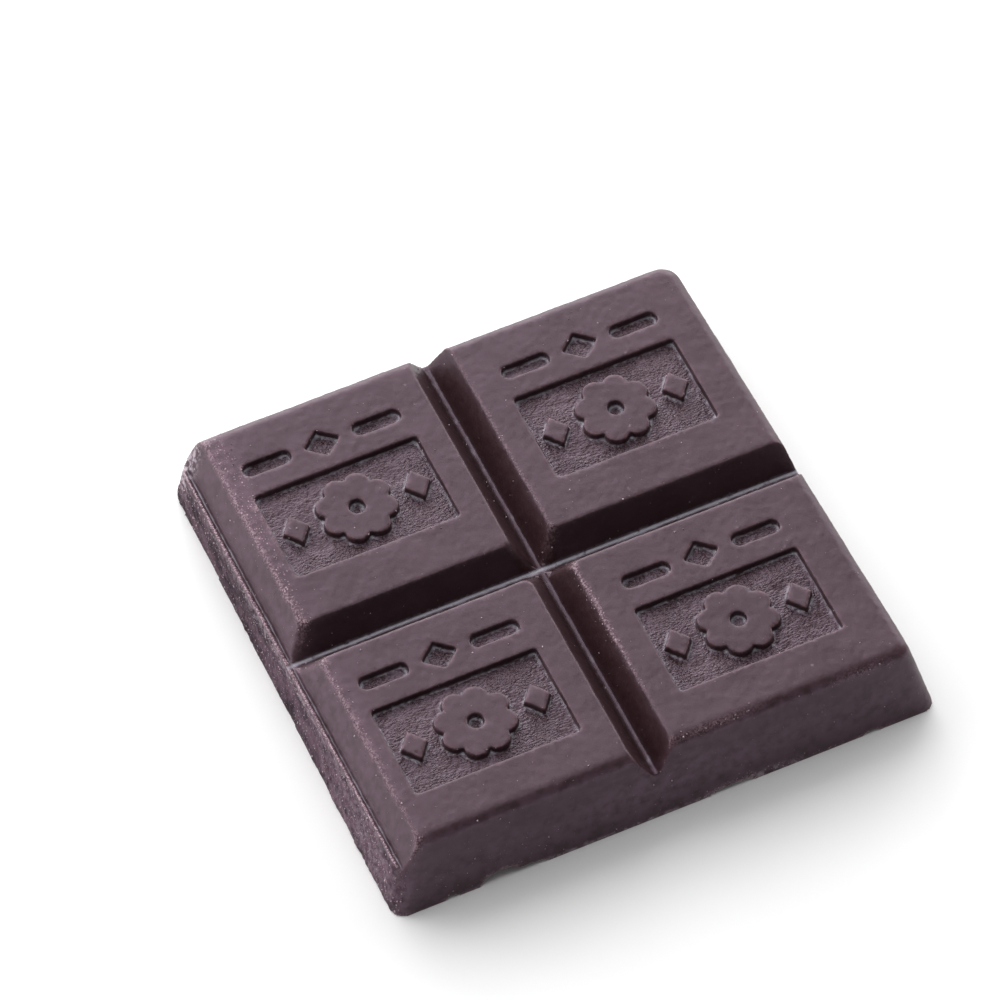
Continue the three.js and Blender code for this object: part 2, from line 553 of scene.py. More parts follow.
@dataclass(frozen=True)
class PressedPattern:
    """The pattern pressed into each block, in millimetres from the block's middle.

    Attributes:
        depth: How deep it is pressed.
        draft: How far its walls lean over that depth.
        panel: Length and width of the sunk panel.
        panel_corner: Radius of the panel's corners.
        panel_middle: Y of the panel's middle.
        lobes: How many lobes the standing rosette has.
        ring: Radius of the circle that the lobes' middles are on.
        lobe: Radius of a lobe.
        eye: Radius of the hole in the rosette.
        panel_lozenge: Half the length and width of the panel's two standing lozenges.
        panel_lozenge_away: How far they are from the panel's middle.
        mark_middle: Y of the row of marks behind the panel.
        mark_lozenge: Half the length and width of the row's sunk lozenge.
        bar: Length and width of the row's two sunk bars.
        bar_away: How far they are from the row's middle.
    """

    depth: float = 0.75
    draft: float = 0.12
    panel: Vector = vector_field(17.6, 10.6)
    panel_corner: float = 0.4
    panel_middle: float = -1.2
    lobes: int = 8
    ring: float = 2.75
    lobe: float = 1.3
    eye: float = 0.85
    panel_lozenge: Vector = vector_field(1.35, 1.75)
    panel_lozenge_away: float = 6.5
    mark_middle: float = 7.3
    mark_lozenge: Vector = vector_field(1.9, 1.65)
    bar: Vector = vector_field(5.2, 1.6)
    bar_away: float = 5.9

    def sunk(self, sides: int, middle: Vector, half: Vector) -> Workpiece:
        """Makes a tapered prism to be pressed in.

        Args:
            sides: How many sides it has.
            middle: Its middle, on the top face.
            half: Its reach along X and Y at the top face.

        Returns:
            The prism.
        """
        reach = Vector((half.x, half.y, self.depth))
        piece = Workpiece.prism("sunk", sides, middle, reach)
        piece.taper(middle, reach, self.draft)
        return piece

    def standing(self, sides: int, middle: Vector, half: Vector) -> Workpiece:
        """Makes a tapered prism that the panel leaves standing; it is deeper than the panel.

        Args:
            sides: How many sides it has.
            middle: Its middle, on the top face.
            half: Its reach along X and Y at the top face.

        Returns:
            The prism.
        """
        deeper = 1.2
        reach = Vector((half.x, half.y, self.depth * deeper))
        piece = Workpiece.prism("standing", sides, middle, reach)
        piece.taper(middle, reach, -self.draft * deeper)
        return piece

    def rounded_plate(self, middle: Vector, size: Vector, corner: float) -> Workpiece:
        """Makes a tapered plate with round corners, to be pressed in.

        Args:
            middle: Its middle, on the top face.
            size: Its length and width at the top face.
            corner: Radius of its corners.

        Returns:
            The plate.
        """
        half = Vector((size.x / 2, size.y / 2, self.depth))
        plate = Workpiece.box("plate", middle - half, middle + half)
        plate.pick(Element.EDGE, upright)
        plate.bevel(corner, segments=6)
        plate.taper(middle, half, self.draft)
        return plate

    def rosette(self, middle: Vector) -> Workpiece:
        """Makes the standing rosette, by drawing in the sides of a round prism.

        Args:
            middle: Its middle, on the top face.

        Returns:
            The rosette.
        """
        steps = 12
        turn = math.tau / self.lobes
        full = self.ring + self.lobe
        rosette = self.standing(self.lobes * steps, middle, Vector((full, full)))

        def step_of(place: Vector) -> int:
            """Which step of its lobe a vertex is at."""
            angle = Vector((place - middle).xy).angle_signed(Vector((1, 0)))
            return round((angle / turn) * steps) % steps

        for step in range(steps):
            rosette.pick(Element.VERTEX, lambda place, _, step=step: step_of(place) == step)
            # How far out the round lobe ends at this angle off its middle line.
            off = (step / steps - 0.5) * turn
            reach = self.ring * math.cos(off)
            reach += math.sqrt(self.lobe**2 - (self.ring * math.sin(off)) ** 2)
            rosette.resize(Vector((reach / full, reach / full, 1)), middle)
        return rosette

    def stamp(self, top: float) -> Workpiece:
        """Makes all that is pressed into a block whose middle is at X = Y = 0.

        Args:
            top: Height of the top face.

        Returns:
            The solid to cut out of the block.
        """
        lozenge_sides = 4
        eye_sides = 32
        round_end = 0.49 * self.bar.y  # just under half, or the two roundings would meet
        middle = Vector((0, self.panel_middle, top))
        marks = Vector((0, self.mark_middle, top))
        panel = self.rounded_plate(middle, self.panel, self.panel_corner)
        panel.combine(self.rosette(middle), Combine.CUT)
        for side in (-1, 1):
            place = middle + Vector((side * self.panel_lozenge_away, 0, 0))
            panel.combine(self.standing(lozenge_sides, place, self.panel_lozenge), Combine.CUT)
        others = [
            self.sunk(eye_sides, middle, Vector((self.eye, self.eye))),
            self.sunk(lozenge_sides, marks, self.mark_lozenge),
        ]
        for side in (-1, 1):
            place = marks + Vector((side * self.bar_away, 0, 0))
            others.append(self.rounded_plate(place, self.bar, round_end))
        panel.join(others)
        return panel


@dataclass
class ChocolateBar:
    """The whole bar: moulded body, snapping grooves, pressed pattern, snapped side and chips.

    Attributes:
        mould: Sizes of the moulded bar.
        pattern: What is pressed into each block.
        ends: The ends of the snapped left side (-1) and of the moulded right side (1), each at the
            front (-1) and at the back (1).
        front_chips: Chips along the front wall's lower edge.
        back_chips: Chips along the back wall's lower edge.
        rubs: Where edges are pale from rubbing, and the ridge beside the crease, whose pale line is a
            painted highlight.
        blooms: Where the surface has turned whitish.
        dust_and_sheen: Where the surface is a little paler: a fine dusting, and painted sheen on the
            left slope, the snapped face, the front wall and its rim.
        painted_shine_line: The painted highlight line along the foot of the cross groove.
        crumb_room: How much lower than its node the bar is, for the crumbs on top.
        voxel: Spacing of the net that carries the relief, in millimetres.
        triangles: Size of the finished mesh.
    """

    mould: Mould = field(default_factory=Mould)
    pattern: PressedPattern = field(default_factory=PressedPattern)
    ends: dict[tuple[int, int], SideEnd] = field(
        default_factory=lambda: {
            (-1, -1): SideEnd(-27.06, 1.29, 1.6),
            (-1, 1): SideEnd(-27.06, 0.44, 2.4),
            (1, -1): SideEnd(28.24, 1.33, 1.3),
            (1, 1): SideEnd(27.32, 1.33, 1.9),
        }
    )
    front_chips: tuple[Chip, ...] = (
        Chip(-22.2, 0.7, 0.45, 0.5),
        Chip(-17.0, 2.3, 1.25, 1.2),
        Chip(-14.2, 2.0, 0.6, 0.7),
        Chip(7.4, 2.6, 0.5, 0.8),
        Chip(22.5, 0.9, 0.4, 0.5),
    )
    back_chips: tuple[Chip, ...] = (
        Chip(-9.0, 1.6, 0.7, 0.8),
        Chip(13.5, 2.4, 0.9, 0.9),
    )
    rubs: tuple[Rub, ...] = (
        Rub((-24.4, -12, 8.7), (0.7, 14, 1.0), 0.8),
        Rub((-23.7, 21, 8.8), (1.3, 8, 1.2), 1.1),
        Rub((-24.3, 9, 8.8), (0.7, 9, 1.0), 1.0),
        Rub((2.2, -9, 8.7), (0.4, 8, 1.0), 1.3),
        Rub((2.2, 12, 8.8), (0.3, 12, 0.6), 0.45),
        Rub((1.5, 1.6, 7.4), (1.2, 1.2, 2), 0.25),
        Rub((-25.2, 1.6, 7.4), (1.2, 1.2, 2), 0.25),
        Rub((-24.9, -25.6, 7.6), (0.9, 0.9, 1.4), 0.4),
        Rub((6, -25.3, 8.7), (5, 0.4, 0.5), 0.9),
        Rub((22, -25.7, 8.3), (3, 0.6, 0.6), 0.7),
        Rub((-8, -27.5, 0.2), (18, 0.8, 0.3), 1.0),
        Rub((-16.5, -27.0, 1.1), (2.6, 0.8, 0.4), 1.2),
        Rub((9.5, -27.4, 0.4), (4.5, 0.9, 0.7), 2.0),
        Rub((20, -27.5, 0.2), (6, 0.8, 0.3), 1.2),
        Rub((-20, -27.0, 3.0), (8, 1.0, 3), 0.25),
        # A pale line along the ridge beside the crease: a painted highlight.
        Rub((-26.95, 0, 5.7), (0.25, 60, 0.3), 1.5),
    )
    blooms: tuple[Rub, ...] = (
        Rub((-26.9, 25.9, 4.2), (1.0, 1.2, 1.6), 0.9),
        Rub((-26.2, 26.2, 6.0), (1.0, 1.0, 1.2), 1.0),
        Rub((-25.2, 26.4, 7.5), (1.3, 0.8, 0.9), 0.9),
        Rub((-27.3, 3, 4.9), (0.7, 16, 0.6), 0.45),
        Rub((-27.9, -19, 3), (1.5, 10, 4), 0.2),
        Rub((-6, -27.5, 0.1), (12, 0.6, 0.2), 0.7),
        Rub((9.8, -27.4, 0.3), (4.5, 0.8, 0.45), 0.7),
    )
    # A fine dusting, and paler painted sheen where the left slope, the snapped face, the front wall
    # and its rim would catch more light.
    dust_and_sheen: tuple[Rub, ...] = (
        Rub((-25.8, 0, 7.2), (1.3, 60, 2.0), 0.5),
        Rub((-23.6, 20, 8.8), (1.6, 10, 1.0), 0.6),
        Rub((-24.2, -10, 8.8), (1.2, 12, 1.0), 0.42),
        Rub((-27.8, -16, 3.0), (1.5, 18, 4.0), 1.0),
        Rub((0, -26.9, 4.0), (60, 1.2, 5), 0.65),
        Rub((3, -26.9, 4.0), (10, 1.2, 5), 0.35),
        Rub((0, -25.8, 8.4), (60, 0.6, 0.5), 1.0),
    )
    # A painted highlight line along the foot of the cross groove.
    painted_shine_line: Rub = Rub((0, 0.24, 5.5), (60, 0.14, 0.1), 1.4)
    crumb_room: float = 0.06
    voxel: float = 0.13
    triangles: int = 195_000
    quick_voxel: float = 0.3
    quick_triangles: int = 60_000

    def on_top(self, place: Vector, _: Vector) -> bool:
        """Whether an element lies in the top face."""
        return place.z > self.mould.thickness - NEAR

    def outer_body(self) -> Workpiece:
        """Makes the solid inside the outer sides: three leaning walls and the snapped face.

        Returns:
            The solid, with round upright corners and a rounded rim.
        """
        mould = self.mould
        body = Workpiece.box("bar", Vector((-1, -1, 0)), Vector((1, 1, mould.thickness)))
        for side, end, height in product((-1, 1), (-1, 1), (0, mould.thickness)):
            start = Vector((side, end, height))
            body.pick(Element.VERTEX, lambda place, _, start=start: (place - start).length < NEAR)
            body.move(self.outer_corner(side, end, height) - start)
        for (side, end), side_end in self.ends.items():
            body.pick(
                Element.EDGE,
                lambda place, line, side=side, end=end: (
                    upright(place, line) and place.x * side > 0 and place.y * end > 0
                ),
            )
            body.bevel(side_end.corner, segments=8)
        body.pick(Element.EDGE, self.on_top)
        steepness = math.atan2(mould.thickness, mould.wall_lean)
        body.bevel(mould.rim_rounding * math.tan(steepness / 2), segments=6)
        return body

    def outer_corner(self, side: int, end: int, height: float) -> Vector:
        """Works out the place of one corner of the outer body.

        Args:
            side: -1 on the left, 1 on the right.
            end: -1 at the front, 1 at the back.
            height: Its height.

        Returns:
            Its place.
        """
        mould = self.mould
        wall = mould.front_top if end < 0 else mould.back_top
        out = mould.wall_lean * (1 - height / mould.thickness)
        x = self.ends[side, end].x_at(side, height, mould.floor)
        return Vector((x, wall + end * out, height))

    def block(self, column: int, row: int) -> Workpiece:
        """Makes one block above the groove floor; sides without a groove run past the bar.

        Args:
            column: -1 on the left, 1 on the right.
            row: -1 at the front, 1 at the back.

        Returns:
            The block, with round upright corners and a rounded top edge.
        """
        mould = self.mould
        half = mould.block / 2 + mould.slope_run
        middle = Vector((column * mould.pitch / 2, row * mould.pitch / 2, 0))
        left = mould.left_trim if column < 0 else mould.groove_shift
        overlap = 0.05
        low = middle + Vector((left - half, -half, mould.floor - overlap))
        high = middle + Vector((mould.groove_shift + half, half, mould.thickness))
        # Each side's axis, its end of that axis, and whether a groove runs along it.
        sides = ((0, -1, True), (0, 1, column < 0), (1, -1, row > 0), (1, 1, row < 0))
        for axis, side, grooved in sides:
            if not grooved:
                corner = high if side > 0 else low
                corner[axis] += side * mould.beyond
        block = Workpiece.box("block", low, high)
        centre = (low + high) / 2
        for axis, side, grooved in sides:
            if grooved:
                block.pick(
                    Element.VERTEX,
                    lambda place, normal, axis=axis, side=side: (
                        self.on_top(place, normal) and (place[axis] - centre[axis]) * side > 0
                    ),
                )
                inwards = Vector()
                inwards[axis] = -side * mould.slope_run
                block.move(inwards)
        block.pick(Element.EDGE, upright)
        block.bevel(mould.block_corner, segments=8)
        block.pick(Element.EDGE, self.on_top)
        block.bevel(mould.groove_rounding * math.tan(mould.slope_angle / 2), segments=4)
        return block

    def channel(
        self, middle: Vector, turn: float = 0.0, share: float = 0.94, deeper: float = 0.0
    ) -> Workpiece:
        """Makes the rod whose cut leaves a narrow channel along the foot of a groove.

        Args:
            middle: A point of the channel's middle line.
            turn: How far the groove is turned from the Y axis.
            share: Width of the channel, as a share of the groove floor's.
            deeper: How much deeper this channel is than the mould says.

        Returns:
            The solid to cut out.
        """
        mould = self.mould
        nearly = 0.9
        half = Vector((share * mould.channel_width / 2, 2 * mould.pitch, 0))
        bottom = mould.floor - mould.channel_depth - deeper
        low = Vector((-half.x, -half.y, bottom))
        rod = Workpiece.box("channel", low, Vector((half.x, half.y, mould.floor + 1)))
        rod.pick(
            Element.EDGE, lambda place, line: abs(line.y) > nearly and place.z < bottom + NEAR
        )
        rod.bevel(nearly * mould.channel_depth, segments=3)
        rod.object.rotation_euler.z = turn
        rod.object.location = middle
        rod.settle()
        return rod

    def chip(self, size: Chip, edge: float) -> Workpiece:
        """Makes the lump that a chip takes out of a wall's lower edge.

        Args:
            size: The chip.
            edge: Y of the edge.

        Returns:
            The solid to cut out.
        """
        lowered = -0.07 * size.height
        bpy.ops.mesh.primitive_ico_sphere_add(
            subdivisions=4,
            radius=1,
            location=(size.x, edge, lowered),
            scale=(size.half_width, size.reach, size.height),
        )
        lump = Workpiece("chip")
        lump.roughen(Relief("chip", grain=0.8, height=0.5 * size.height))
        return lump

    def moulded(self) -> Workpiece:
        """Makes the bar's shape with its grooves, pattern and chips.

        Returns:
            The shape, in clean large faces.
        """
        mould = self.mould
        sideways = mould.pitch + mould.beyond
        body = self.outer_body()
        raised = Workpiece.box(
            "slab",
            Vector((-sideways, mould.front_top - mould.beyond, -1)),
            Vector((sideways, mould.back_top + mould.beyond, mould.floor)),
        )
        for column, row in product((-1, 1), (-1, 1)):
            raised.combine(self.block(column, row), Combine.JOIN)
        body.combine(raised, Combine.SHARE)
        crease = Vector((mould.left_trim - mould.pitch + mould.crease_shift, 0, 0))
        cross = Vector((0, mould.cross_channel_shift, 0))
        for channel in (
            self.channel(crease, share=mould.crease_share, deeper=mould.crease_deeper),
            self.channel(Vector((mould.groove_shift, 0, 0))),
            self.channel(cross, turn=math.pi / 2, deeper=mould.cross_channel_deeper),
        ):
            body.combine(channel, Combine.CUT)
        stamp = self.pattern.stamp(mould.thickness)
        for column, row in product((-1, 1), (-1, 1)):
            place = Vector((column * mould.pitch / 2, row * mould.pitch / 2, 0))
            body.combine(stamp.copy(place), Combine.CUT)
        bpy.data.objects.remove(stamp.object)
        front_edge = mould.front_top - mould.wall_lean
        back_edge = mould.back_top + mould.wall_lean
        for edge, chips in ((front_edge, self.front_chips), (back_edge, self.back_chips)):
            for size in chips:
                body.combine(self.chip(size, edge), Combine.CUT)
        return body

    def regions(self, piece: Workpiece) -> dict[Region, np.ndarray]:
        """Works out how much each vertex belongs to the regions that reliefs or gloss tell apart.

        Args:
            piece: The bar, modelled about the crossing of its grooves.

        Returns:
            A number from 0 to 1 for each vertex, by region.
        """
        mould = self.mould
        x, _, z = piece.places().T
        normal_x, _, normal_z = piece.normals().T
        close, level = 0.2, 0.75
        pressed_floor = mould.thickness - self.pattern.depth
        pressed = (np.abs(z - pressed_floor) < close) & (normal_z > level)
        below_groove = 0.15 - mould.floor
        under_groove = ramp(-z, below_groove, run=0.5) * ramp(z, 0, run=0.25)
        snapped = ramp(-normal_x, 0.4, run=0.3) * under_groove * (x < 0)
        beside_floor = np.abs(z - mould.floor)
        return {
            Region.PRESSED: pressed.astype(float),
            Region.CHANNEL: (1 - ramp(beside_floor, 0, run=0.4)) * ramp(normal_z, 0.5, run=1 / 3),
            Region.SNAPPED: snapped,
            Region.MOULDED: ramp(z, 0, run=0.6) * (1 - snapped),
        }

    def weather(self, piece: Workpiece) -> None:
        """Gives the moulded shape its uneven edges, grainy floors and rough snapped face.

        Args:
            piece: The bar, as a net of small faces.
        """
        for region, weights in self.regions(piece).items():
            piece.weigh(region.value, weights)
        for relief in (
            Relief("uneven", grain=2.6, height=0.07, region=Region.MOULDED, push=Push.ANY),
            Relief("nicked", grain=0.6, height=0.06, region=Region.MOULDED, push=Push.ANY),
            Relief("grainy", grain=0.35, height=0.08, depth=1, region=Region.PRESSED),
            Relief("lumpy", grain=2.2, height=0.35, depth=3, region=Region.SNAPPED),
            Relief("crumbly", grain=0.5, height=0.26, region=Region.SNAPPED),
        ):
            piece.roughen(relief)

    def finishes(self, piece: Workpiece) -> dict[Region, np.ndarray]:
        """Works out how much each vertex belongs to each region that the finish tells apart.

        Args:
            piece: The bar with its relief, modelled about the crossing of its grooves.

        Returns:
            A number from 0 to 1 for each vertex, by region.
        """
        mould = self.mould
        places = piece.places()
        x, _, z = places.T
        turn = self.turn(piece)
        # Feet of walls that face up, for the painted highlight lines.
        hollow = ramp(-turn, 0.06, run=0.12) * ramp(piece.normals()[:, 2], 0.2, run=0.5)
        in_groove = ramp(-np.abs(x - mould.groove_shift), -mould.groove_width / 2, run=0.4)
        above_floor = ramp(z, mould.floor - 0.3, run=0.4)
        # Rubbing with a painted highlight on the crease ridge, bloom, and the dusting with painted
        # sheen.
        worn_and_painted = {Region.RUBBED_AND_HIGHLIT: self.rubs, Region.BLOOMED: self.blooms, Region.DUST_AND_SHEEN: self.dust_and_sheen}
        return self.regions(piece) | {
            Region.EDGE: ramp(turn, 0, run=0.2),
            Region.PAINTED_GLINT_LINE: np.clip(hollow + self.painted_shine_line.at(places), 0, 1),
            # The groove between the left and the right blocks, above its floor, is darkened as painted
            # shade.
            Region.GROOVE_SHADE: in_groove * above_floor,
            **{
                region: np.clip(sum(rub.at(places) for rub in rubs), 0, 1)
                for region, rubs in worn_and_painted.items()
            },
        }

    def turn(self, piece: Workpiece) -> np.ndarray:
        """Works out how sharply the surface turns at each vertex.

        Args:
            piece: The bar with its relief.

        Returns:
            A number for each vertex: above 0 on edges, below 0 in hollows and 0 where it is flat.
        """
        smoothings = 2
        tiny = 1e-9  # keeps an edge without a length from dividing by 0
        mesh = piece.object.data
        ends = np.empty(len(mesh.edges) * 2, np.int32)
        mesh.edges.foreach_get("vertices", ends)
        start, end = ends.reshape(-1, 2).T
        places = piece.places()
        normals = piece.normals()
        line = places[end] - places[start]
        line /= np.linalg.norm(line, axis=1, keepdims=True) + tiny
        count = np.zeros(len(places))
        turn = np.zeros(len(places))
        for near, sign in ((start, 1), (end, -1)):
            np.add.at(turn, near, -sign * (line * normals[near]).sum(1))
            np.add.at(count, near, 1)
        turn /= np.maximum(count, 1)
        for _ in range(smoothings):
            spread = np.zeros(len(places))
            np.add.at(spread, start, turn[end])
            np.add.at(spread, end, turn[start])
            turn = (turn + spread / np.maximum(count, 1)) / 2
        return turn

    def bring_to_frame(self, piece: Workpiece) -> None:
        """Moves the piece to its node's place and keeps it within the node's box.

        Args:
            piece: The bar in millimetres, which is in metres afterwards.
        """
        clearance = 1e-4
        piece.make_active()
        bpy.ops.transform.translate(value=self.mould.crossing)
        piece.settle()
        low, high = (np.array(corner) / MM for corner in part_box(BAR_NODE))
        high[2] -= self.crumb_room
        places = piece.places()
        least, most = places.min(0), places.max(0)
        share = np.minimum(1, (high - low) / (most - least))
        at = (low + high - (least + most) * share) / 2
        at[2] = (low - least * share)[2] + clearance
        piece.object.scale = share * MM
        piece.object.location = at * MM
        piece.settle()

    def build(self) -> Workpiece:
        """Models the bar and brings it to its place in the frame.

        Returns:
            The bar, with a mark on its vertices for each region.
        """
        piece = self.moulded()
        piece.remesh(self.voxel)
        piece.smooth(rounds=1)
        self.weather(piece)
        piece.decimate(self.triangles)
        piece.object.vertex_groups.clear()
        for region, values in self.finishes(piece).items():
            piece.mark(region.value, values)
        self.bring_to_frame(piece)
        piece.make_active()
        bpy.ops.object.shade_smooth()
        return piece

    def make(self) -> Object:
        """Builds and dresses the bar and puts it in its node's stead.

        Returns:
            The finished bar.
        """
        piece = self.build().object
        piece.name = "moulded_bar"
        piece.data.materials.clear()
        piece.data.materials.append(DarkChocolate().material())
        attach(piece, "root")
        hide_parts(BAR_NODE)
        return piece


@dataclass(frozen=True)
class Crumbs:
    """Tiny crumbs that cling to the bar, most of them where it is rubbed or broken.

    Attributes:
        count: How many there are.
        least: Radius of the smallest, in millimetres.
        most: Radius of the largest.
        rarity: How rare large ones are; at 1, all sizes are equally common.
        narrow: The least factor by which a crumb is stretched along each of its axes.
        wide: The largest such factor.
        anywhere: How likely a crumb is where the bar is clean.
        seed: Start of the random choices.
    """

    count: int = 3600
    least: float = 0.025
    most: float = 0.1
    rarity: int = 3
    narrow: float = 0.6
    wide: float = 1.3
    anywhere: float = 0.03
    seed: int = 11

    def lump(self) -> Workpiece:
        """Models one irregular crumb.

        Returns:
            The crumb, with a radius of about 1, about the origin.
        """
        bpy.ops.mesh.primitive_ico_sphere_add(subdivisions=1, radius=1)
        lump = Workpiece("crumbs")
        lump.roughen(Relief("lump", grain=0.8, height=1.0, push=Push.ANY))
        return lump

    def chances(self, bar: Object) -> np.ndarray:
        """Works out where crumbs are likely.

        Args:
            bar: The finished bar.

        Returns:
            The chance that a crumb is at a vertex, for each of the bar's.
        """
        weights = {Region.RUBBED_AND_HIGHLIT: 1.0, Region.SNAPPED: 0.35, Region.BLOOMED: 1.0, Region.DUST_AND_SHEEN: 0.05}
        chance = np.full(len(bar.data.vertices), self.anywhere)
        for region, weight in weights.items():
            values = np.empty(len(chance), np.float32)
            bar.data.attributes[region.value].data.foreach_get("value", values)
            chance += weight * values
        return chance / chance.sum()

    def scatter(self, bar: Object, lump: Workpiece) -> None:
        """Makes the lump's mesh a joined mesh of many, half sunk into the bar.

        Args:
            bar: The finished bar.
            lump: The one crumb that is repeated.
        """
        random = np.random.default_rng(self.seed)
        on = np.empty(len(bar.data.vertices) * 3, np.float32)
        bar.data.vertices.foreach_get("co", on)
        middles = on.reshape(-1, 3)[random.choice(len(on) // 3, self.count, p=self.chances(bar))]
        radii = self.least + (self.most - self.least) * random.random(self.count) ** self.rarity
        turns = np.linalg.qr(random.normal(size=(self.count, 3, 3)))[0]
        stretched = turns * random.uniform(self.narrow, self.wide, (self.count, 1, 3))
        shapes = np.einsum("nij,vj->nvi", stretched, lump.places())
        places = middles[:, None] + shapes * radii[:, None, None] * MM
        low, high = (np.array(corner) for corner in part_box(BAR_NODE))
        faces = np.array([face.vertices[:] for face in lump.object.data.polygons])
        steps = np.arange(self.count)[:, None, None] * len(lump.places())
        mesh = bpy.data.meshes.new("crumbs")
        corners = np.clip(places.reshape(-1, 3), low, high)
        mesh.from_pydata(corners.tolist(), [], (faces + steps).reshape(-1, 3).tolist())
        lump.object.data = mesh

    def make(self, bar: Object) -> Object:
        """Makes all crumbs of a bar as one piece, and dresses them.

        Args:
            bar: The finished bar.

        Returns:
            The crumbs.
        """
        lump = self.lump()
        self.scatter(bar, lump)
        crumbs = lump.object
        crumbs.data.materials.append(CrumbFinish().material())
        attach(crumbs, "root")
        return crumbs


class Recipe:
    """A node material that is being put together."""

    def __init__(self, name: str) -> None:
        """Starts a material with its one shader.

        Args:
            name: The material's name.
        """
        self.material = bpy.data.materials.new(name)
        self.material.use_nodes = True
        self.nodes = self.material.node_tree.nodes
        self.links = self.material.node_tree.links
        self.shader = self.nodes["Principled BSDF"]
        self.place = self.nodes.new("ShaderNodeTexCoord").outputs["Object"]

    def node(self, kind: str, **inputs: object) -> Node:
        """Adds a node.

        Args:
            kind: Which kind of node.
            inputs: Values or other nodes' outputs, by the inputs that they go into.

        Returns:
            The node.
        """
        node = self.nodes.new(kind)
        for name, value in inputs.items():
            self.feed(node.inputs[name], value)
        return node

    def feed(self, socket: NodeSocket, value: object) -> None:
        """Fills one input.

        Args:
            socket: The input.
            value: A value, or another node's output to link to it.
        """
        if isinstance(value, NodeSocket):
            self.links.new(value, socket)
        else:
            socket.default_value = value

    def noise(self, size: float, detail: float = 2.0, stretch: Triple = (1, 1, 1)) -> NodeSocket:
        """Adds a noise pattern.

        Args:
            size: How large its patches are, in millimetres.
            detail: How many finer layers it has.
            stretch: How much longer the patches are along X, Y and Z.

        Returns:
            The pattern's value, about 0.5 on average.
        """
        thinner = tuple(1 / part for part in stretch)
        mapping = self.node("ShaderNodeMapping", Vector=self.place, Scale=thinner)
        pattern = self.node(
            "ShaderNodeTexNoise", Vector=mapping.outputs[0], Scale=1 / (size * MM), Detail=detail
        )
        return pattern.outputs["Fac"]

    def patches(
        self, size: float, detail: float, low: float, high: float, stretch: Triple = (1, 1, 1)
    ) -> NodeSocket:
        """Adds a noise pattern whose contrast is raised.

        Args:
            size: How large its patches are, in millimetres.
            detail: How many finer layers it has.
            low: Level of the noise up to which the pattern is 0.
            high: Level of the noise from which it is 1.
            stretch: How much longer the patches are along X, Y and Z.

        Returns:
            The pattern's value.
        """
        return self.band(self.noise(size, detail, stretch), low, high)

    def specks(self, spacing: float, radius: float, share: float) -> NodeSocket:
        """Adds scattered round specks.

        Args:
            spacing: Distance between places that can hold a speck, in millimetres.
            radius: Radius of a speck, in millimetres.
            share: How many of the places hold one, from 0 to 1.

        Returns:
            1 inside a speck and 0 elsewhere.
        """
        core = 0.6
        cells = self.node("ShaderNodeTexVoronoi", Vector=self.place, Scale=1 / (spacing * MM))
        edge = radius / spacing
        inside = self.band(cells.outputs["Distance"], edge, core * edge)
        chance = self.node("ShaderNodeSeparateColor", Color=cells.outputs["Color"]).outputs["Red"]
        return self.times(inside, self.maths(Maths.BELOW, chance, share))

    def region(self, region: Region) -> NodeSocket:
        """Reads the surface's mark for a region.

        Args:
            region: The region.

        Returns:
            How much the surface belongs to it, from 0 to 1.
        """
        node = self.nodes.new("ShaderNodeAttribute")
        node.attribute_name = region.value
        return node.outputs["Fac"]

    def band(self, value: NodeSocket, low: float, high: float) -> NodeSocket:
        """Stretches a value between two levels, with a soft start and end.

        Args:
            value: The value.
            low: The level that becomes 0.
            high: The level that becomes 1; it may be the lower of the two.

        Returns:
            The stretched value, from 0 to 1.
        """
        node = self.nodes.new("ShaderNodeMapRange")
        node.interpolation_type = "SMOOTHSTEP"
        self.feed(node.inputs["Value"], value)
        node.inputs["From Min"].default_value = low
        node.inputs["From Max"].default_value = high
        return node.outputs["Result"]

    def maths(self, how: Maths, *values: object) -> NodeSocket:
        """Works out a value from others.

        Args:
            how: What is worked out.
            values: Numbers or other nodes' outputs, in the order that it takes them.

        Returns:
            The result.
        """
        node = self.nodes.new("ShaderNodeMath")
        node.operation = how.value
        for socket, value in zip(node.inputs, values):
            self.feed(socket, value)
        return node.outputs[0]

    def times(self, first: object, second: object) -> NodeSocket:
        """Multiplies two values."""
        return self.maths(Maths.TIMES, first, second)

    def within(self, region: Region, value: object) -> NodeSocket:
        """Keeps a value inside a region and fades it out at its border."""
        return self.times(self.region(region), value)

    def blend(self, share: object, first: object, second: object) -> NodeSocket:
        """Blends two colours.

        Args:
            share: How much of the second colour there is, from 0 to 1.
            first: The first colour.
            second: The second colour.

        Returns:
            The blended colour.
        """
        first_colour, second_colour, blended = 6, 7, 2
        node = self.nodes.new("ShaderNodeMix")
        node.data_type = "RGBA"
        self.feed(node.inputs["Factor"], share)
        self.feed(node.inputs[first_colour], first)
        self.feed(node.inputs[second_colour], second)
        return node.outputs[blended]

    def bump(self, value: NodeSocket, height: float, under: NodeSocket | None = None) -> NodeSocket:
        """Adds a fine relief.

        Args:
            value: How high the surface is, from 0 to 1.
            height: How high 1 is, in millimetres.
            under: The relief that it lies on, if there is one.

        Returns:
            The surface's direction.
        """
        node = self.node("ShaderNodeBump", Height=value, Distance=height * MM)
        if under:
            self.feed(node.inputs["Normal"], under)
        return node.outputs["Normal"]


def rgb(red: float, green: float, blue: float) -> Colour:
    """A colour from screen values of 0 to 255, as the shader counts it."""
    return (*(((part / 255 + 0.055) / 1.055) ** 2.4 for part in (red, green, blue)), 1.0)


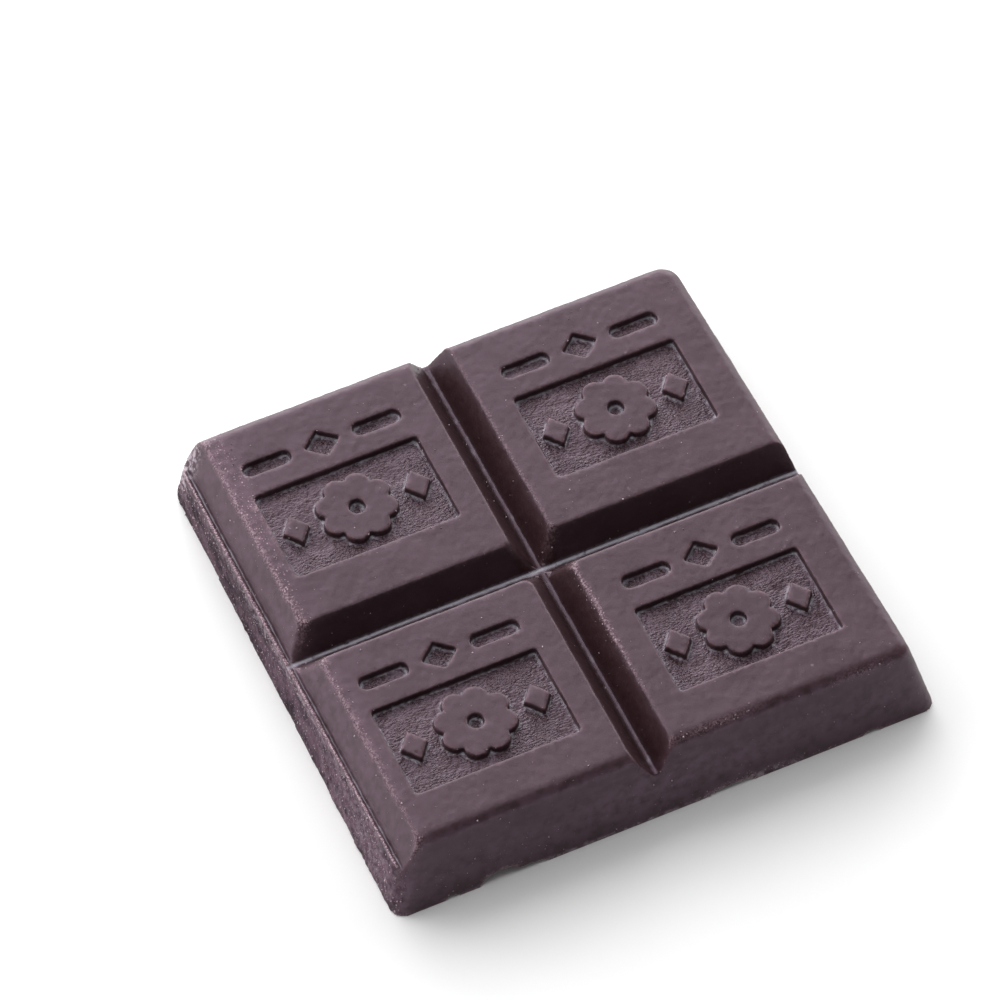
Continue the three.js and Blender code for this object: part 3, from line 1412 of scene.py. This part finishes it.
@dataclass(frozen=True)
class DarkChocolate:
    """Satin dark chocolate with grainy pressed floors, pale rubbing on its edges and a rough snapped
    face, with painted shade, sheen and highlights.

    Attributes:
        deep: The darker brown of its clouds, and the pits in the snapped face.
        pale: The paler brown of its clouds.
        edge: Its edges.
        dust_and_sheen: The paler mauve of a fine dusting and of painted sheen.
        rubbed: Flecks and dots where it is pale from rubbing, a painted highlight line along the
            crease ridge, and sparse specks everywhere.
        sheltered: Painted shade on the walls of the groove between the left and the right blocks.
        broken: The darker patches of the snapped face.
        broken_pale: The paler ones.
        bloom: Whitish places, and the specks on the snapped face.
        painted_glint: The colour of painted highlight lines along the feet of walls.
        sheen: Tint of what it reflects.
        satin: Roughness of the skin where it is glossiest.
        satin_range: How much rougher the skin is elsewhere.
        floor_gloss: How much less rough the pressed floors and the groove floors are.
        snapped_dullness: How much rougher the snapped face is.
    """

    deep: Colour = rgb(49, 34, 35)
    pale: Colour = rgb(57, 41, 43)
    edge: Colour = rgb(94, 66, 70)
    dust_and_sheen: Colour = rgb(94, 72, 84)
    rubbed: Colour = rgb(170, 142, 150)
    sheltered: Colour = rgb(43, 23, 23)
    broken: Colour = rgb(30, 21, 25)
    broken_pale: Colour = rgb(88, 69, 78)
    bloom: Colour = rgb(178, 165, 173)
    painted_glint: Colour = rgb(166, 165, 175)
    sheen: Colour = (0.95, 0.71, 0.93, 1.0)
    satin: float = 0.38
    satin_range: float = 0.08
    floor_gloss: float = 0.19
    snapped_dullness: float = 0.5

    def material(self) -> bpy.types.Material:
        """Builds the node material.

        Returns:
            The material.
        """
        recipe = Recipe("dark_chocolate")
        recipe.feed(recipe.shader.inputs["Base Color"], self.colour(recipe))
        recipe.feed(recipe.shader.inputs["Roughness"], self.roughness(recipe))
        recipe.feed(recipe.shader.inputs["Normal"], self.relief(recipe))
        recipe.shader.inputs["Specular Tint"].default_value = self.sheen
        return recipe.material

    def colour(self, recipe: Recipe) -> NodeSocket:
        """Mixes the colour: cloudy brown, painted shade in the groove, snapped face, a dusting with
        painted sheen, edges, painted highlight lines, rubbing with a painted highlight on the crease
        ridge, and bloom.

        Args:
            recipe: The material that is being made.

        Returns:
            The colour.
        """
        clouds = recipe.patches(size=5, detail=3, low=0.35, high=0.65)
        colour = recipe.blend(clouds, self.deep, self.pale)
        # Painted shade: the walls of the groove between the left and the right blocks are darker and
        # redder.
        colour = recipe.blend(recipe.region(Region.GROOVE_SHADE), colour, self.sheltered)
        colour = recipe.blend(recipe.region(Region.SNAPPED), colour, self.snapped_colour(recipe))
        hazy = recipe.patches(size=1.1, detail=4, low=0.25, high=0.7)
        # A fine dusting, which on the left slope, the snapped face, the front wall and its rim is
        # painted sheen.
        colour = recipe.blend(recipe.within(Region.DUST_AND_SHEEN, hazy), colour, self.dust_and_sheen)
        uneven = recipe.patches(size=0.5, detail=3, low=0.35, high=0.7)
        colour = recipe.blend(recipe.within(Region.EDGE, uneven), colour, self.edge)
        # Painted highlight lines along the feet of walls, broken into patches.
        broken_up = recipe.patches(size=0.8, detail=3, low=0.2, high=0.45)
        colour = recipe.blend(recipe.within(Region.PAINTED_GLINT_LINE, broken_up), colour, self.painted_glint)
        sparse = recipe.specks(spacing=0.9, radius=0.07, share=0.3)
        faint = 0.35
        colour = recipe.blend(recipe.times(sparse, faint), colour, self.rubbed)
        # Pale flecks and dots from rubbing, and a painted highlight along the crease ridge.
        colour = recipe.blend(self.wear_and_highlight(recipe), colour, self.rubbed)
        patchy = recipe.patches(size=0.7, detail=5, low=0.42, high=0.6)
        return recipe.blend(recipe.within(Region.BLOOMED, patchy), colour, self.bloom)

    def snapped_colour(self, recipe: Recipe) -> NodeSocket:
        """Mixes the snapped face's colour: soft patches with dark pits and pale specks.

        Args:
            recipe: The material that is being made.

        Returns:
            The colour.
        """
        patches = recipe.patches(size=1.8, detail=5, low=0.4, high=0.64, stretch=(1, 2, 1))
        colour = recipe.blend(patches, self.broken, self.broken_pale)
        pits = recipe.specks(spacing=0.8, radius=0.16, share=0.4)
        strong = 0.8
        colour = recipe.blend(recipe.times(pits, strong), colour, self.deep)
        specks = recipe.specks(spacing=0.45, radius=0.1, share=0.3)
        return recipe.blend(specks, colour, self.bloom)

    def wear_and_highlight(self, recipe: Recipe) -> NodeSocket:
        """Works out where the surface is pale from rubbing, and where a painted highlight runs along
        the crease ridge.

        Args:
            recipe: The material that is being made.

        Returns:
            1 on flecks along the rubbed edges and on dots in the most rubbed places.
        """
        rubbed = recipe.region(Region.RUBBED_AND_HIGHLIT)
        flecks = recipe.patches(size=0.2, detail=2, low=0.45, high=0.58)
        doubled = recipe.times(rubbed, 2.0)
        along_edges = recipe.times(doubled, recipe.within(Region.EDGE, flecks))
        large_dots = recipe.specks(spacing=0.36, radius=0.1, share=0.4)
        small_dots = recipe.specks(spacing=0.23, radius=0.06, share=0.3)
        dots = recipe.maths(Maths.MOST, large_dots, small_dots)
        beside = recipe.times(recipe.band(rubbed, 0.45, 0.85), dots)
        return recipe.maths(Maths.MOST, along_edges, beside)

    def roughness(self, recipe: Recipe) -> NodeSocket:
        """Makes the gloss: satin, glossier on the floors and dull where snapped.

        Args:
            recipe: The material that is being made.

        Returns:
            The roughness.
        """
        patches = recipe.patches(size=0.9, detail=3, low=0.3, high=0.7)
        skin = recipe.maths(Maths.TIMES_THEN_ADD, patches, self.satin_range, self.satin)
        pressed = recipe.region(Region.PRESSED)
        floors = recipe.maths(Maths.ADD, pressed, recipe.region(Region.CHANNEL))
        glossier = recipe.times(floors, -self.floor_gloss)
        duller = recipe.within(Region.SNAPPED, self.snapped_dullness)
        return recipe.maths(Maths.ADD, skin, recipe.maths(Maths.ADD, glossier, duller))

    def relief(self, recipe: Recipe) -> NodeSocket:
        """Makes the finest relief: an almost smooth skin, hammered floors and a gritty break.

        Args:
            recipe: The material that is being made.

        Returns:
            The surface's direction.
        """
        least = 0.3
        skin = recipe.bump(recipe.noise(size=0.16), height=0.008)
        hammered = recipe.within(Region.PRESSED, recipe.noise(size=0.22, stretch=(1.6, 1, 1)))
        rougher = recipe.patches(size=3.5, detail=2, low=0.35, high=0.65)
        uneven = recipe.times(hammered, recipe.maths(Maths.ADD, rougher, least))
        floors = recipe.bump(uneven, height=0.17, under=skin)
        gritty = recipe.within(Region.SNAPPED, recipe.noise(size=0.3, detail=3))
        return recipe.bump(gritty, height=0.1, under=floors)


@dataclass(frozen=True)
class CrumbFinish:
    """Dull pale crumbs, some browner than others.

    Attributes:
        brown: The brownest.
        pale: The palest.
        roughness: How dull they are.
    """

    brown: Colour = rgb(98, 76, 82)
    pale: Colour = rgb(186, 166, 174)
    roughness: float = 0.6

    def material(self) -> bpy.types.Material:
        """Builds the node material.

        Returns:
            The material.
        """
        recipe = Recipe("crumbs")
        tones = recipe.patches(size=0.5, detail=2, low=0.35, high=0.65)
        recipe.feed(recipe.shader.inputs["Base Color"], recipe.blend(tones, self.brown, self.pale))
        recipe.shader.inputs["Roughness"].default_value = self.roughness
        return recipe.material


@dataclass(frozen=True)
class Softbox:
    """A square soft light that faces the bar.

    Attributes:
        name: Its name.
        way: Which way it stands from the bar.
        distance: How far away it is, in metres.
        size: Its side, in metres.
        radiance: How bright its face is; a white floor in full light is about 1.
    """

    name: str
    way: Vector
    distance: float
    size: float
    radiance: float

    def hang(self) -> None:
        """Adds the light."""
        data = bpy.data.lights.new(self.name, "AREA")
        data.shape = "SQUARE"
        data.size = self.size
        data.energy = self.radiance * math.pi * self.size**2
        light = bpy.data.objects.new(self.name, data)
        bpy.context.scene.collection.objects.link(light)
        light.location = self.way.normalized() * self.distance
        light.rotation_mode = "QUATERNION"
        light.rotation_quaternion = (-self.way).to_track_quat("-Z", "Y")


@dataclass(frozen=True)
class Studio:
    """The pale floor, the soft light and the camera, in metres.

    Attributes:
        camera_place: Where the camera stands.
        camera_target: What it looks at.
        camera_roll: How far it is turned about its line of sight, clockwise.
        camera_near: How close to it things may be.
        lens: Its focal length, in millimetres.
        floor_radius: Radius of the round floor.
        floor_colour: The floor's colour.
        floor_roughness: How dull the floor is.
        sky: How bright the even light from all sides is.
        softboxes: The other lights.
    """

    camera_place: Vector = vector_field(-0.183033, -0.410882, 0.646583)
    camera_target: Vector = vector_field(0.00083, 0.012491, 0)
    camera_roll: float = math.radians(1.47)
    camera_near: float = 0.01
    lens: float = 288.0
    floor_radius: float = 2.0
    floor_colour: Colour = (0.96, 0.96, 0.96, 1.0)
    floor_roughness: float = 0.8
    sky: float = 0.14
    softboxes: tuple[Softbox, ...] = (
        Softbox("high_back", Vector((-0.15, 0.84, 0.53)), distance=0.75, size=0.9, radiance=3.0),
        Softbox("low_back", Vector((0.3, 0.93, 0.2)), distance=0.9, size=0.9, radiance=2.2),
        Softbox("above", Vector((-0.05, 0.05, 1)), distance=0.5, size=0.3, radiance=2.2),
        Softbox("left", Vector((-0.85, 0.5, 0.2)), distance=0.9, size=0.9, radiance=2.4),
        Softbox("right", Vector((0.85, 0.5, 0.25)), distance=0.9, size=0.9, radiance=2.8),
    )

    def camera(self) -> None:
        """Sets up the camera."""
        data = bpy.data.cameras.new("camera")
        data.lens = self.lens
        data.clip_start = self.camera_near
        camera = bpy.data.objects.new("camera", data)
        bpy.context.scene.collection.objects.link(camera)
        camera.location = self.camera_place
        look = (self.camera_target - self.camera_place).to_track_quat("-Z", "Y")
        camera.rotation_mode = "QUATERNION"
        camera.rotation_quaternion = look @ Quaternion((0, 0, 1), -self.camera_roll)
        bpy.context.scene.camera = camera

    def floor(self) -> None:
        """Lays the pale floor."""
        bpy.ops.mesh.primitive_circle_add(vertices=64, radius=self.floor_radius, fill_type="NGON")
        floor = bpy.context.active_object
        floor.name = "floor"
        recipe = Recipe("pale_floor")
        recipe.shader.inputs["Base Color"].default_value = self.floor_colour
        recipe.shader.inputs["Roughness"].default_value = self.floor_roughness
        floor.data.materials.append(recipe.material)

    def lights(self) -> None:
        """Hangs the softboxes and lights the room evenly."""
        for softbox in self.softboxes:
            softbox.hang()
        world = bpy.data.worlds.new("room")
        world.use_nodes = True
        background = world.node_tree.nodes["Background"]
        background.inputs["Color"].default_value = (1, 1, 1, 1)
        background.inputs["Strength"].default_value = self.sky
        bpy.context.scene.world = world

    def set_up(self) -> None:
        """Sets up all of the studio."""
        bpy.context.scene.view_settings.view_transform = "Standard"
        self.camera()
        self.floor()
        self.lights()


def main() -> None:
    """Builds the studio and every piece."""
    logging.basicConfig(level=logging.INFO, format="%(name)s: %(message)s")
    bpy.ops.object.select_all(action="DESELECT")
    Studio().set_up()
    bar = ChocolateBar().make()
    crumbs = Crumbs().make(bar)
    for piece in (bar, crumbs):
        LOG.info("%s: %d triangles", piece.name, len(piece.data.polygons))


if __name__ == "__main__":
    main()
